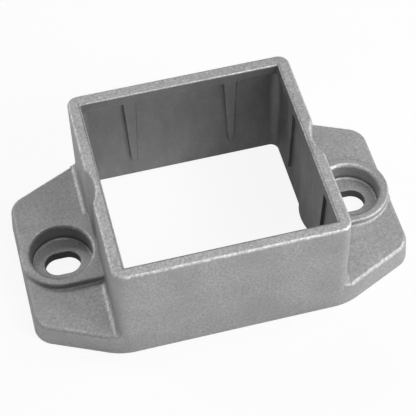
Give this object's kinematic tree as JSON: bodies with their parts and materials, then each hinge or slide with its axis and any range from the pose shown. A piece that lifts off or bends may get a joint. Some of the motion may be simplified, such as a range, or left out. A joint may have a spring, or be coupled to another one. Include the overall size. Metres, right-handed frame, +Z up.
{
  "type": "tube clamp base flange",
  "caption": "Cast base flange: an open square collar holds a square post upright on a base plate with a slotted, counterbored screw boss in each ear.",
  "frame": {"origin": "centre of the underside, on the axis of the square socket", "axes": "+X from ear to ear, +Y across the ears, +Z up through the socket"},
  "size_m": [0.115, 0.0686, 0.0378],
  "materials": {
    "cast_aluminium": "as cast and blasted, matte with a fine grain"
  },
  "bodies": {
    "root": {"base_flange": "cast_aluminium"}
  },
  "joints": []
}
